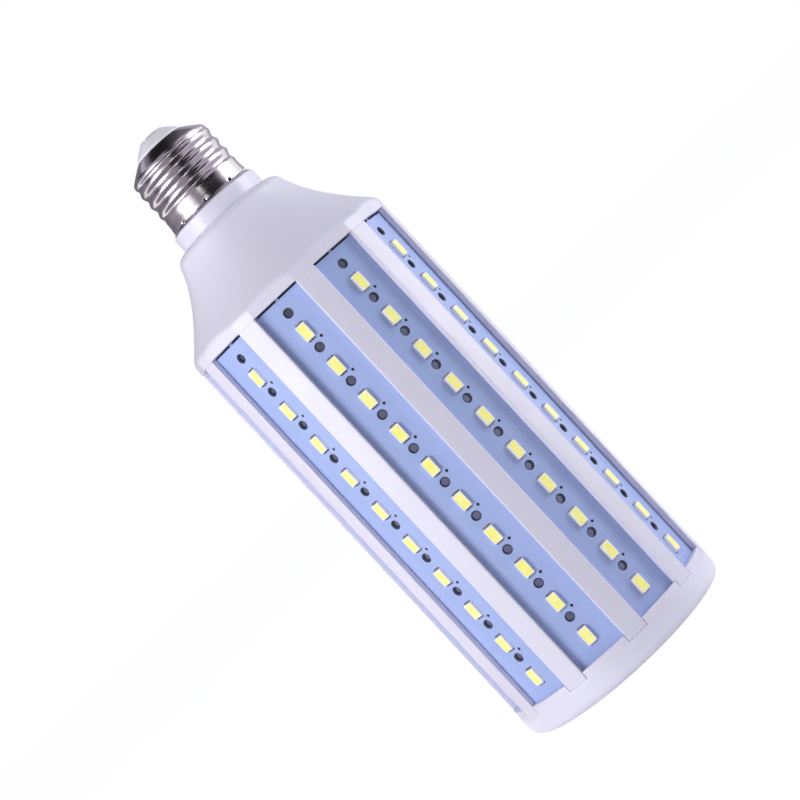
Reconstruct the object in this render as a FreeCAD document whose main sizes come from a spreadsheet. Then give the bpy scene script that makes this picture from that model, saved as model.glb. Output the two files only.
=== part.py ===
"""Corn LED bulb: ten light strips held in a ribbed white housing with a screw base and an end cap.

The bulb stands on its end cap with the screw base up. The origin is the centre of the end face, +Z is
the bulb's axis, and the first light strip faces -Y. Millimetres throughout.

Each light strip stands on the cap's shoulder, slides in the grooves of the two ribs beside it and is
stopped at the top by a small nub under the housing's rim.
"""
import FreeCAD, Part

import os

import Sketcher
from FreeCAD import Placement, Rotation, Vector

# Driving sizes: name, value, meaning
DIMENSIONS = [
    ("side_count", 10, "light strips round the bulb"),
    ("body_radius", 34.2, "outer edge of the ribs and of the end cap"),
    ("window_width", 14.1, "opening between two ribs"),
    # end cap
    ("cap_shoulder", 7.2, "height of the shoulder that the strips stand on"),
    ("cap_edge", 2.8, "rounding of the cap's lower edge, in two flats"),
    ("tongue_height", 2.1, "tongues that rise over the strip ends"),
    ("tongue_side_gap", 0.3, "gap between a tongue and a rib"),
    ("tongue_face_gap", 0.3, "gap between a tongue and a strip"),
    ("cap_ledge", 4.0, "width of the ledge that the end board sits on"),
    # ten-sided board in the end face
    ("disc_margin", 6.0, "end board's corners inside the cap's outer edge"),
    ("disc_thickness", 1.0, "end board"),
    ("disc_sink", 2.1, "depth of the end board's face below the cap's rim"),
    ("disc_gap", 0.2, "gap round the end board"),
    ("disc_outer_count", 7, "LEDs in the end board's outer ring"),
    ("disc_outer_ring", 19.0, "radius of the outer ring of LEDs"),
    ("disc_inner_count", 3, "LEDs in the end board's inner ring"),
    ("disc_inner_ring", 8.0, "radius of the inner ring of LEDs"),
    # light strips
    ("board_length", 127.2, "light strip"),
    ("board_width", 16.4, "light strip"),
    ("board_thickness", 1.0, "light strip"),
    ("board_sink", 1.9, "depth of a strip's face below the outer edges of its window"),
    ("led_count", 10, "LEDs on a strip"),
    ("led_low_margin", 8.3, "lowest LED's centre above the strip's lower end"),
    ("led_high_margin", 10.9, "highest LED's centre below the strip's upper end"),
    ("led_length", 5.6, "LED package along the bulb"),
    ("led_width", 3.0, "LED package across the strip"),
    ("led_height", 0.9, "LED package above the board"),
    ("vent_radius", 1.5, "vent holes in the strips"),
    ("vent_share", 0.55, "vent hole above its LED, as a share of the LEDs' spacing"),
    ("vent_sides", 6, "sides of a vent hole, kept few because there are many"),
    # ribs
    ("groove_gap", 0.1, "gap between a groove and a strip's face"),
    ("groove_side_gap", 0.2, "gap at the bottom of a groove"),
    ("foot_overlap", 1.0, "how far a rib's foot reaches behind a strip"),
    ("foot_depth", 1.3, "thickness of a rib's foot"),
    ("rib_end_gap", 0.3, "gap between a rib's end and the cap"),
    # rim, flare and neck
    ("nub_width", 0.9, "nub that stops a strip"),
    ("nub_height", 0.6, "nub that stops a strip"),
    ("rim_height", 3.0, "flat-sided band above the strips"),
    ("rim_margin", 1.4, "rim's inner edge inside the ribs' feet"),
    ("rim_spare", 0.1, "rim turned this much over size before its flats are cut"),
    ("flare_step", 0.3, "narrow ledge between the rim's flats and the flare"),
    ("flare_height", 21.6, "hollow curve above the rim, in three cones"),
    ("flare_waist_radius", 21.5, "point that the hollow curve is pulled to"),
    ("flare_waist_rise", 12.5, "point that the hollow curve is pulled to, above the rim"),
    ("flare_wall", 3.0, "flare's thinnest wall"),
    ("shoulder_radius", 18.75, "flare at the foot of its shoulder"),
    ("shoulder_height", 3.3, "rounded shoulder"),
    ("shoulder_mid_radius", 17.7, "edge between the shoulder's two flats"),
    ("shoulder_mid_rise", 2.1, "edge between the shoulder's two flats, above its foot"),
    ("shoulder_step", 1.0, "flat between the shoulder and the neck"),
    ("neck_radius", 14.4, "ring under the screw shell"),
    ("neck_height", 4.1, "ring under the screw shell"),
    ("shaft_depth", 12.0, "passage through the neck, across the driver board"),
    ("shaft_gap", 0.1, "gap beside the driver board's tongue"),
    ("spigot_height", 5.5, "tube that the screw shell is crimped on"),
    ("spigot_gap", 0.1, "gap between the tube and the shell"),
    # screw shell, insulator and centre contact
    ("shell_radius", 13.2, "crest of the shell's thread"),
    ("shell_wall", 0.5, "sheet metal"),
    ("barrel_height", 17.9, "straight part of the shell"),
    ("taper_height", 3.9, "shoulder of the shell"),
    ("taper_radius", 7.9, "upper edge of the shell"),
    ("taper_rim", 0.65, "width of the upper edge"),
    ("insulator_height", 3.4, "visible cone"),
    ("insulator_radius", 4.4, "top of the cone"),
    ("contact_radius", 4.0, "centre contact"),
    ("contact_height", 0.4, "centre contact"),
    # driver
    ("driver_width", 23.6, "board in the neck's guide slots"),
    ("driver_thickness", 1.6, "board"),
    ("driver_length", 29.5, "board below the end of the slots"),
    ("driver_tongue_width", 20.0, "narrow top of the board"),
    ("slot_gap", 0.1, "gap beside the board in its slots"),
    ("slot_end", 2.0, "slots stop this far below the top of the tube"),
    ("slot_length", 14.0, "guide slots"),
    ("part_gap", 0.1, "gap under a round part that lies on the board"),
    ("bulk_radius", 5.0, "bulk capacitor"),
    ("bulk_length", 16.0, "bulk capacitor"),
    ("bulk_place", 4.5, "bulk capacitor beside the middle of the board"),
    ("choke_radius", 4.0, "choke"),
    ("choke_height", 7.0, "choke"),
    ("choke_place", 6.0, "choke beside the middle of the board"),
    ("choke_rise", 6.0, "choke's centre above the board's lower edge"),
    ("fuse_radius", 1.5, "fuse resistor"),
    ("fuse_length", 8.0, "fuse resistor"),
    ("fuse_rise", 11.5, "fuse resistor above the board's lower edge"),
    ("film_width", 12.0, "film capacitor"),
    ("film_depth", 6.0, "film capacitor"),
    ("film_height", 10.0, "film capacitor"),
    ("film_rise", 1.0, "film capacitor above the board's lower edge"),
    ("rectifier_width", 4.5, "bridge rectifier"),
    ("rectifier_depth", 2.5, "bridge rectifier"),
    ("chip_width", 4.0, "driver chip"),
    ("chip_depth", 1.6, "driver chip"),
    ("chip_height", 5.0, "driver chip and rectifier along the board"),
    ("chip_rise", 13.0, "driver chip and rectifier above the board's lower edge"),
    ("chip_place", 1.5, "driver chip and rectifier beside the middle of the board"),
    # leads
    ("lead_radius", 0.6, "insulated leads"),
    ("lead_gap", 0.1, "gap round a lead in its hole"),
    ("lead_sides", 6, "sides of a lead, which is hidden"),
    ("round_sides", 12, "sides of the driver's round parts, which are hidden"),
    ("neutral_place", 6.0, "inner end of the neutral lead"),
    ("feed_place", 8.0, "feed leads on the driver board"),
    ("feed_drop", 2.0, "feed leads meet the strips this far below their upper ends"),
    ("end_feed_place", 12.0, "leads on the end board"),
    ("end_feed_rise", 9.0, "leads meet the strips this far above their lower ends"),
    ("link_width", 1.6, "flat links between neighbouring strips"),
    ("link_thickness", 0.3, "flat links"),
    ("link_length", 12.4, "flat links"),
    ("link_gap", 0.1, "gap between a link and the rib that it crosses"),
    ("link_drop", 5.0, "links below the strips' upper ends"),
]

# Places worked out from the driving sizes
PLACES = [
    ("half_step", "180 / D.side_count"),
    ("window_half", "D.window_width / 2"),
    ("corner_face", "sqrt(D.body_radius ^ 2 - (D.window_width / 2) ^ 2)"),
    ("rib_face", "corner_face * cos(half_step) + window_half * sin(half_step)"),
    ("flat_cut_half", "D.body_radius * sin(half_step)"),
    ("flat_cut_far", "D.body_radius + 2 * D.rim_spare"),
    # heights
    ("tongue_top", "D.cap_shoulder + D.tongue_height"),
    ("board_top", "D.cap_shoulder + D.board_length"),
    ("rim_low", "board_top + D.nub_height"),
    ("rim_top", "rim_low + D.rim_height"),
    ("flare_top", "rim_top + D.flare_height"),
    ("shoulder_top", "flare_top + D.shoulder_height"),
    ("neck_top", "shoulder_top + D.neck_height"),
    ("spigot_top", "neck_top + D.spigot_height"),
    ("barrel_top", "neck_top + D.barrel_height"),
    ("shell_top", "barrel_top + D.taper_height"),
    ("insulator_top", "shell_top + D.insulator_height"),
    ("contact_top", "insulator_top + D.contact_height"),
    # end cap and end board
    ("cap_edge_in", "D.body_radius - D.cap_edge"),
    ("cap_flat_rise", "D.cap_edge * (1 - sqrt(0.5))"),
    ("cap_flat_radius", "D.body_radius - cap_flat_rise"),
    ("disc_back", "D.disc_sink + D.disc_thickness"),
    ("disc_radius", "D.body_radius - D.disc_margin"),
    ("disc_seat", "disc_radius + D.disc_gap"),
    ("cap_hole", "disc_radius - D.cap_ledge"),
    ("board_face", "corner_face - D.board_sink"),
    ("tongue_face", "board_face + D.tongue_face_gap"),
    ("tongue_half", "window_half - D.tongue_side_gap"),
    ("tongue_corner", "sqrt(D.body_radius ^ 2 - tongue_half ^ 2)"),
    # light strips
    ("board_half", "D.board_width / 2"),
    ("board_back", "board_face - D.board_thickness"),
    ("led_half_width", "D.led_width / 2"),
    ("led_first", "D.cap_shoulder + D.led_low_margin"),
    ("led_first_low", "led_first - D.led_length / 2"),
    ("led_first_high", "led_first + D.led_length / 2"),
    ("led_span", "D.board_length - D.led_low_margin - D.led_high_margin"),
    ("vent_first", "led_first + D.vent_share * led_span / (D.led_count - 1)"),
    # ribs: distance from the axis and from the middle of a strip
    ("groove_outer", "board_face + D.groove_gap"),
    ("groove_inner", "board_back - D.groove_gap"),
    ("groove_half", "board_half + D.groove_side_gap"),
    ("foot_half", "groove_half - D.foot_overlap"),
    ("foot_face", "groove_inner - D.foot_depth"),
    ("rib_length", "rim_low - D.cap_shoulder - D.rib_end_gap"),
    ("nub_half", "D.nub_width / 2"),
    ("nub_front", "groove_outer + D.nub_height"),
    # rim, flare and neck
    ("rim_radius", "D.body_radius + D.rim_spare"),
    ("rim_bore", "foot_face * cos(half_step) + foot_half * sin(half_step) - D.rim_margin"),
    ("flare_foot", "corner_face - D.flare_step"),
    # the flare's curve at a third and two thirds of its way
    ("flare_low_radius", "(4 * flare_foot + 4 * D.flare_waist_radius + D.shoulder_radius) / 9"),
    ("flare_low", "rim_top + (4 * D.flare_waist_rise + D.flare_height) / 9"),
    ("flare_high_radius", "(flare_foot + 4 * D.flare_waist_radius + 4 * D.shoulder_radius) / 9"),
    ("flare_high", "rim_top + 4 * (D.flare_waist_rise + D.flare_height) / 9"),
    # steps of the hollow inside it
    ("hollow_low_radius", "flare_low_radius - D.flare_wall"),
    ("hollow_low", "flare_low - rim_low"),
    ("hollow_high_radius", "flare_high_radius - D.flare_wall"),
    ("hollow_high", "flare_high - rim_low"),
    ("hollow_top_radius", "D.shoulder_radius - D.flare_wall"),
    ("hollow_top", "flare_top - rim_low"),
    ("shoulder_mid", "flare_top + D.shoulder_mid_rise"),
    ("shoulder_edge", "D.neck_radius + D.shoulder_step"),
    ("shell_bore", "D.shell_radius - D.shell_wall"),
    ("spigot_radius", "shell_bore - D.spigot_gap"),
    ("taper_bore", "D.taper_radius - D.taper_rim"),
    ("lead_hole", "D.lead_radius + D.lead_gap"),
    # driver board and its slots
    ("driver_half", "D.driver_width / 2"),
    ("driver_tongue_half", "D.driver_tongue_width / 2"),
    ("driver_face", "D.driver_thickness / 2"),
    ("driver_stop", "spigot_top - D.slot_end"),
    ("driver_low", "driver_stop - D.driver_length"),
    ("slot_half", "driver_half + D.groove_side_gap"),
    ("slot_face", "driver_face + D.slot_gap"),
    ("slot_low", "driver_stop - D.slot_length"),
    ("shaft_half", "D.shaft_depth / 2"),
    ("shaft_side", "driver_tongue_half + D.shaft_gap"),
    ("shaft_length", "spigot_top - flare_top"),
    # links between the strips, seen along a rib
    ("link_outer", "foot_face * cos(half_step) + foot_half * sin(half_step) - D.link_gap"),
    ("link_inner", "link_outer - D.link_thickness"),
    ("link_half", "D.link_length / 2"),
    ("link_low", "board_top - D.link_drop - D.link_width"),
]

# A rib's outline from its outer corner to its foot: distance from the axis, distance from the strip's middle
RIB_CORNERS = [
    ("rib_edge", "corner_face", "window_half"),
    ("rib_lip", "groove_outer", "window_half"),
    ("groove_floor", "groove_outer", "groove_half"),
    ("groove_root", "groove_inner", "groove_half"),
    ("foot_tip", "groove_inner", "foot_half"),
    ("foot_edge", "foot_face", "foot_half"),
]
for corner, out, across in RIB_CORNERS:
    PLACES.append((corner + "_out", f"{out} * cos(half_step) + {across} * sin(half_step)"))
    PLACES.append((corner + "_side", f"{out} * sin(half_step) - {across} * cos(half_step)"))

DRIVING_NAMES = {name for name, number, meaning in DIMENSIONS}

doc = FreeCAD.newDocument("corn_led_bulb")
dimensions = doc.addObject("Spreadsheet::Sheet", "Dimensions")
places = doc.addObject("Spreadsheet::Sheet", "Places")


def fill_sheets():
    """The driving sizes as plain numbers, and the places as formulas of them."""
    for row, (name, number, meaning) in enumerate(DIMENSIONS, 1):
        dimensions.set(f"A{row}", name)
        dimensions.set(f"B{row}", str(number))
        dimensions.set(f"C{row}", meaning)
        dimensions.setAlias(f"B{row}", name)
    for row, (name, formula) in enumerate(PLACES, 1):
        places.set(f"A{row}", name)
        places.setAlias(f"B{row}", name)
    for row, (name, formula) in enumerate(PLACES, 1):
        places.set(f"B{row}", "=" + formula.replace("D.", "Dimensions."))
    doc.recompute()


def cell(name):
    """The full name of a cell, for an expression. A leading minus sign is kept."""
    sign = "-" if name.startswith("-") else ""
    word = name.lstrip("-")
    sheet = "Dimensions" if word in DRIVING_NAMES else "Places"
    return f"{sign}{sheet}.{word}"


def size(name):
    """The number in a cell. A leading minus sign turns it round, and "0" is nought."""
    if name == "0":
        return 0.0
    word = name.lstrip("-")
    number = (dimensions if word in DRIVING_NAMES else places).get(word)
    return -float(number) if name.startswith("-") else float(number)


def new_body(label):
    body = doc.addObject("PartDesign::Body", label)
    body.Label = label
    body.AllowCompound = True
    return body


def origin_part(body, role):
    return next(part for part in body.Origin.OriginFeatures if part.Role == role)


def new_sketch(body, name, plane, height="0", turn=None):
    """A sketch on one of the body's own planes, moved along its normal and turned about it."""
    sketch = body.newObject("Sketcher::SketchObject", name)
    sketch.AttachmentSupport = [(origin_part(body, plane), "")]
    sketch.MapMode = "FlatFace"
    spin = Rotation(Vector(0, 0, 1), size(turn)) if turn else Rotation()
    sketch.AttachmentOffset = Placement(Vector(0, 0, size(height)), spin)
    if height != "0":
        sketch.setExpression("AttachmentOffset.Base.z", cell(height))
    return sketch


def hold_point(sketch, piece, end, corner):
    """Pins one end of a line or arc at the cells of a corner."""
    for kind, axis, name in (("DistanceX", -2, corner[0]), ("DistanceY", -1, corner[1])):
        if name == "0":
            sketch.addConstraint(Sketcher.Constraint("PointOnObject", piece, end, axis))
            continue
        index = sketch.addConstraint(Sketcher.Constraint(kind, -1, 1, piece, end, size(name)))
        sketch.setExpression(f"Constraints[{index}]", cell(name))


def add_arc(sketch, start, finish, radius):
    """An arc bound to its radius, bulging to the right of the way from start to finish."""
    chord = finish - start
    rise = (size(radius) ** 2 - (chord.Length / 2) ** 2) ** 0.5
    centre = (start + finish) * 0.5 + Vector(-chord.y, chord.x, 0).normalize() * rise
    circle = Part.Circle(centre, Vector(0, 0, 1), size(radius))
    arc = Part.ArcOfCircle(circle, circle.parameter(start), circle.parameter(finish))
    piece = sketch.addGeometry(arc, False)
    index = sketch.addConstraint(Sketcher.Constraint("Radius", piece, size(radius)))
    sketch.setExpression(f"Constraints[{index}]", cell(radius))
    return piece


def outline(sketch, corners):
    """A closed outline. A corner is two cells, and a third is the radius of an arc to the next corner."""
    points = [Vector(size(corner[0]), size(corner[1]), 0) for corner in corners]
    pieces = []
    for i, corner in enumerate(corners):
        start, finish = points[i], points[(i + 1) % len(points)]
        if len(corner) == 3:
            pieces.append(add_arc(sketch, start, finish, corner[2]))
        else:
            pieces.append(sketch.addGeometry(Part.LineSegment(start, finish), False))
    for i, corner in enumerate(corners):
        sketch.addConstraint(Sketcher.Constraint("Coincident", pieces[i - 1], 2, pieces[i], 1))
        hold_point(sketch, pieces[i], 1, corner)
    return sketch


def polygon(sketch, radius, count):
    """A regular outline in a circle, with its first corner towards -Y."""
    sides = int(size(count))
    corners = [Rotation(Vector(0, 0, 1), 360 * i / sides).multVec(Vector(0, -size(radius), 0))
               for i in range(sides)]
    circle = sketch.addGeometry(Part.Circle(Vector(), Vector(0, 0, 1), size(radius)), True)
    sketch.addConstraint(Sketcher.Constraint("Coincident", circle, 3, -1, 1))
    index = sketch.addConstraint(Sketcher.Constraint("Radius", circle, size(radius)))
    sketch.setExpression(f"Constraints[{index}]", cell(radius))
    pieces = [sketch.addGeometry(Part.LineSegment(corners[i - 1], corners[i]), False) for i in range(sides)]
    for i, piece in enumerate(pieces):
        sketch.addConstraint(Sketcher.Constraint("Coincident", pieces[i - 1], 2, piece, 1))
        sketch.addConstraint(Sketcher.Constraint("PointOnObject", piece, 2, circle))
        if i:
            sketch.addConstraint(Sketcher.Constraint("Equal", pieces[0], piece))
    sketch.addConstraint(Sketcher.Constraint("PointOnObject", pieces[0], 2, -2))
    return sketch


def rectangle(sketch, left, right, low, high):
    return outline(sketch, [(left, low), (right, low), (right, high), (left, high)])


def pad(body, sketch, length, name, downward=False):
    feature = body.newObject("PartDesign::Pad", name)
    feature.Profile = sketch
    feature.setExpression("Length", cell(length))
    feature.Reversed = downward
    body.Tip = feature
    return feature


def cut(body, sketch, length, name):
    """A pocket along the sketch's normal, tested to take material away."""
    doc.recompute()
    before = body.Shape.Volume
    feature = body.newObject("PartDesign::Pocket", name)
    feature.Profile = sketch
    feature.setExpression("Length", cell(length))
    feature.Reversed = True
    body.Tip = feature
    doc.recompute()
    if body.Shape.Volume >= before:
        raise RuntimeError(f"{name} cuts nothing from {body.Label}")
    return feature


def turn(body, sketch, name):
    feature = body.newObject("PartDesign::Revolution", name)
    feature.Profile = sketch
    feature.ReferenceAxis = (sketch, ["V_Axis"])
    feature.Angle = 360
    body.Tip = feature
    return feature


def round_pattern(body, features, count, name):
    """Copies of features, evenly round the bulb's axis."""
    pattern = body.newObject("PartDesign::PolarPattern", name)
    pattern.Originals = features
    pattern.Axis = (origin_part(body, "Z_Axis"), [""])
    pattern.Angle = 360
    pattern.setExpression("Occurrences", cell(count))
    body.Tip = pattern
    return pattern


def row_pattern(body, features, count, span, name):
    """Copies of features, evenly along the bulb's axis."""
    pattern = body.newObject("PartDesign::LinearPattern", name)
    pattern.Originals = features
    pattern.Direction = (origin_part(body, "Z_Axis"), [""])
    pattern.setExpression("Length", cell(span))
    pattern.setExpression("Occurrences", cell(count))
    body.Tip = pattern
    return pattern


def turned_piece(label, corners):
    """A piece turned about the bulb's axis from an outline of radii and heights."""
    body = new_body(label)
    sketch = outline(new_sketch(body, label + "_profile", "XZ_Plane"), corners)
    turn(body, sketch, label + "_turning")
    return body


def make_end_cap():
    """A round cap with an eased lower edge, a ten-sided seat for the end board and a tongue over each strip."""
    body = turned_piece("end_cap", [
        ("0", "0"),
        ("cap_edge_in", "0"),
        ("cap_flat_radius", "cap_flat_rise"),
        ("body_radius", "cap_edge"),
        ("body_radius", "cap_shoulder"),
        ("0", "cap_shoulder"),
    ])
    sketch = polygon(new_sketch(body, "seat_outline", "XY_Plane"), "disc_seat", "side_count")
    cut(body, sketch, "disc_back", "end_board_seat")
    sketch = polygon(new_sketch(body, "hole_outline", "XY_Plane"), "cap_hole", "side_count")
    cut(body, sketch, "cap_shoulder", "ledge_hole")
    sketch = new_sketch(body, "tongue_outline", "XY_Plane", "cap_shoulder")
    outline(sketch, [
        ("-tongue_half", "-tongue_corner", "body_radius"),
        ("tongue_half", "-tongue_corner"),
        ("tongue_half", "-tongue_face"),
        ("-tongue_half", "-tongue_face"),
    ])
    tongue = pad(body, sketch, "tongue_height", "tongue")
    round_pattern(body, [tongue], "side_count", "tongues")
    return body


def make_end_disc():
    """The board that closes the cap, seated on the cap's ledge."""
    body = new_body("end_disc")
    sketch = polygon(new_sketch(body, "disc_outline", "XY_Plane", "disc_sink"), "disc_radius", "side_count")
    pad(body, sketch, "disc_thickness", "disc_plate")
    return body


def make_end_disc_leds():
    """Two rings of LEDs under the end board."""
    body = new_body("end_disc_leds")
    for ring, count in (("disc_outer_ring", "disc_outer_count"), ("disc_inner_ring", "disc_inner_count")):
        sketch = new_sketch(body, ring + "_outline", "XY_Plane", "disc_sink")
        half_length, half_width = size("led_length") / 2, size("led_width") / 2
        corners = [Vector(side * half_length, up * half_width - size(ring), 0)
                   for side, up in ((-1, -1), (1, -1), (1, 1), (-1, 1))]
        for i in range(4):
            sketch.addGeometry(Part.LineSegment(corners[i], corners[(i + 1) % 4]), False)
        led = pad(body, sketch, "led_height", ring + "_led", downward=True)
        round_pattern(body, [led], count, ring + "_leds")
    return body


def make_housing():
    """Flare, neck and ribs in one moulding: turned, given its flats, hollowed, then ribbed."""
    body = turned_piece("housing", [
        ("0", "rim_low"),
        ("rim_radius", "rim_low"),
        ("rim_radius", "rim_top"),
        ("flare_foot", "rim_top"),
        ("flare_low_radius", "flare_low"),
        ("flare_high_radius", "flare_high"),
        ("shoulder_radius", "flare_top"),
        ("shoulder_mid_radius", "shoulder_mid"),
        ("shoulder_edge", "shoulder_top"),
        ("neck_radius", "shoulder_top"),
        ("neck_radius", "neck_top"),
        ("spigot_radius", "neck_top"),
        ("spigot_radius", "spigot_top"),
        ("0", "spigot_top"),
    ])
    # flats that carry on the strips' windows and the ribs' faces round the rim
    for name, face, step in (("window_flat", "corner_face", None), ("rib_flat", "rib_face", "half_step")):
        sketch = new_sketch(body, name + "_outline", "XY_Plane", "rim_low", step)
        rectangle(sketch, "-flat_cut_half", "flat_cut_half", "-flat_cut_far", "-" + face)
        flat = cut(body, sketch, "rim_height", name)
        round_pattern(body, [flat], "side_count", name + "s")
    # hollow under the flare, narrowing in steps towards the neck
    for name, radius, depth in (("mouth", "rim_bore", "rim_height"), ("low", "hollow_low_radius", "hollow_low"),
                                ("high", "hollow_high_radius", "hollow_high"),
                                ("top", "hollow_top_radius", "hollow_top")):
        sketch = new_sketch(body, f"{name}_hollow_outline", "XY_Plane", "rim_low", "half_step")
        cut(body, polygon(sketch, radius, "side_count"), depth, f"{name}_hollow")
    # passage through the neck, with guide slots for the edges of the driver board
    sketch = new_sketch(body, "shaft_outline", "XY_Plane", "flare_top")
    rectangle(sketch, "-shaft_half", "shaft_half", "-shaft_side", "shaft_side")
    cut(body, sketch, "shaft_length", "neck_shaft")
    sketch = new_sketch(body, "slot_outline", "XY_Plane", "slot_low")
    rectangle(sketch, "-slot_face", "slot_face", "-slot_half", "slot_half")
    cut(body, sketch, "slot_length", "driver_slots")
    # ribs with a groove on each side, and a nub over the middle of each strip
    right = [(corner + "_side", "-" + corner + "_out") for corner, out, across in RIB_CORNERS]
    left = [("-" + side, out) for side, out in reversed(right)]
    sketch = outline(new_sketch(body, "rib_outline", "XY_Plane", "rim_low", "half_step"), right + left)
    rib = pad(body, sketch, "rib_length", "rib", downward=True)
    sketch = new_sketch(body, "nub_outline", "XY_Plane", "rim_low")
    rectangle(sketch, "-nub_half", "nub_half", "-nub_front", "-board_back")
    nub = pad(body, sketch, "nub_height", "nub", downward=True)
    round_pattern(body, [rib, nub], "side_count", "ribs_and_nubs")
    return body


def make_strip(number):
    """A light strip's board with its row of vent holes, turned to its side of the bulb."""
    body = new_body(f"strip_{number:02d}")
    sketch = new_sketch(body, f"board_outline_{number:02d}", "XZ_Plane", "board_back")
    rectangle(sketch, "-board_half", "board_half", "cap_shoulder", "board_top")
    pad(body, sketch, "board_thickness", f"board_{number:02d}")
    vent = body.newObject("PartDesign::SubtractivePrism", f"vent_{number:02d}")
    vent.AttachmentSupport = [(origin_part(body, "XZ_Plane"), "")]
    vent.MapMode = "FlatFace"
    vent.setExpression("AttachmentOffset.Base.y", cell("vent_first"))
    vent.setExpression("AttachmentOffset.Base.z", cell("groove_inner"))
    vent.setExpression("Polygon", cell("vent_sides"))
    vent.setExpression("Circumradius", cell("vent_radius"))
    vent.setExpression("Height", f"{cell('board_thickness')} + 2 * {cell('groove_gap')}")
    row_pattern(body, [vent], "led_count", "led_span", f"vents_{number:02d}")
    return body


def make_strip_leds(number):
    """The row of LEDs on a light strip."""
    body = new_body(f"strip_leds_{number:02d}")
    sketch = new_sketch(body, f"led_outline_{number:02d}", "XZ_Plane", "board_face")
    rectangle(sketch, "-led_half_width", "led_half_width", "led_first_low", "led_first_high")
    led = pad(body, sketch, "led_height", f"led_{number:02d}")
    row_pattern(body, [led], "led_count", "led_span", f"leds_{number:02d}")
    return body


def face_side(body, number):
    """Turns a body from the -Y side to its own side of the bulb."""
    angle = (number - 1) * 360 / size("side_count")
    body.Placement = Placement(Vector(), Rotation(Vector(0, 0, 1), angle))


def make_screw_shell():
    """The thin metal shell that is crimped on the housing's neck."""
    return turned_piece("screw_shell", [
        ("shell_bore", "neck_top"),
        ("shell_radius", "neck_top"),
        ("shell_radius", "barrel_top"),
        ("taper_radius", "shell_top"),
        ("taper_bore", "shell_top"),
        ("taper_bore", "barrel_top"),
        ("shell_bore", "barrel_top"),
    ])


def make_contact_insulator():
    """The pale cone on the shell's upper edge, with a hole for the live lead."""
    body = turned_piece("contact_insulator", [
        ("0", "shell_top"),
        ("taper_radius", "shell_top"),
        ("insulator_radius", "insulator_top"),
        ("0", "insulator_top"),
    ])
    sketch = polygon(new_sketch(body, "lead_hole_outline", "XY_Plane", "shell_top"), "lead_hole", "lead_sides")
    cut(body, sketch, "insulator_height", "lead_passage")
    return body


def make_centre_contact():
    """A flat metal button on the insulator."""
    return turned_piece("centre_contact", [
        ("0", "insulator_top"),
        ("contact_radius", "insulator_top"),
        ("contact_radius", "contact_top"),
        ("0", "contact_top"),
    ])


def make_driver_board():
    """The driver's board, with shoulders that stop against the ends of the guide slots."""
    body = new_body("driver_board")
    sketch = new_sketch(body, "driver_outline", "YZ_Plane", "-driver_face")
    outline(sketch, [
        ("-driver_half", "driver_low"),
        ("driver_half", "driver_low"),
        ("driver_half", "driver_stop"),
        ("driver_tongue_half", "driver_stop"),
        ("driver_tongue_half", "spigot_top"),
        ("-driver_tongue_half", "spigot_top"),
        ("-driver_tongue_half", "driver_stop"),
        ("-driver_half", "driver_stop"),
    ])
    pad(body, sketch, "driver_thickness", "driver_plate")
    return body


def place(piece, x, y, z):
    for axis, formula in (("x", x), ("y", y), ("z", z)):
        piece.setExpression(f"Placement.Base.{axis}", formula)
    return piece


def block(label, sides, corner):
    """A plain block: its sides and its lowest corner as expressions."""
    box = doc.addObject("Part::Box", label)
    box.Label = label
    for name, formula in zip(("Length", "Width", "Height"), sides):
        box.setExpression(name, formula)
    return place(box, *corner)


def bar(label, sides, radius, length, foot, lie_along_x=False):
    """A bar of few sides standing on its foot, or lying along +X from it."""
    prism = doc.addObject("Part::Prism", label)
    prism.Label = label
    prism.setExpression("Polygon", sides)
    prism.setExpression("Circumradius", radius)
    prism.setExpression("Height", length)
    if lie_along_x:
        prism.Placement = Placement(Vector(), Rotation(Vector(0, 1, 0), 90))
    return place(prism, *foot)


def make_driver_parts():
    """The parts on the driver board: round ones and the choke on its +X face, flat ones on its -X face."""
    face, low = cell("driver_face"), cell("driver_low")
    bulk, fuse, film = cell("bulk_radius"), cell("fuse_radius"), cell("film_depth")
    above = f"{face} + {cell('part_gap')}"
    chips = f"{low} + {cell('chip_rise')}"
    return [
        bar("bulk_capacitor", cell("round_sides"), bulk, cell("bulk_length"),
                 (f"{above} + {bulk}", cell("-bulk_place"), f"{low} + {cell('film_rise')}")),
        bar("choke", cell("round_sides"), cell("choke_radius"), cell("choke_height"),
                 (face, cell("choke_place"), f"{low} + {cell('choke_rise')}"), lie_along_x=True),
        bar("fuse_resistor", cell("round_sides"), fuse, cell("fuse_length"),
                 (f"{above} + {fuse}", cell("choke_place"), f"{low} + {cell('fuse_rise')}")),
        block("film_capacitor", (film, cell("film_width"), cell("film_height")),
              (f"-{face} - {film}", f"-{cell('film_width')} / 2", f"{low} + {cell('film_rise')}")),
        block("bridge_rectifier", (cell("rectifier_depth"), cell("rectifier_width"), cell("chip_height")),
              (f"-{face} - {cell('rectifier_depth')}",
               f"-{cell('chip_place')} - {cell('rectifier_width')}", chips)),
        block("driver_chip", (cell("chip_depth"), cell("chip_width"), cell("chip_height")),
              (f"-{face} - {cell('chip_depth')}", cell("chip_place"), chips)),
    ]


def straight_lead(start, finish):
    """A lead of few sides from one point to another."""
    along = finish - start
    frame = Placement(start, Rotation(Vector(0, 0, 1), along))
    sides = int(size("lead_sides"))
    corners = [Rotation(Vector(0, 0, 1), 360 * i / sides).multVec(Vector(size("lead_radius"), 0, 0))
               for i in range(sides)]
    end = Part.Face(Part.makePolygon([frame.multVec(corner) for corner in corners + corners[:1]]))
    return end.extrude(along)


def lead_pair(label, start, finish):
    """Two leads, one on each side of the bulb's axis."""
    pair = doc.addObject("Part::Feature", label)
    pair.Label = label
    half_turn = Rotation(Vector(0, 0, 1), 180)
    pair.Shape = Part.makeCompound([
        straight_lead(start, finish),
        straight_lead(half_turn.multVec(start), half_turn.multVec(finish)),
    ])
    return pair


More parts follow.
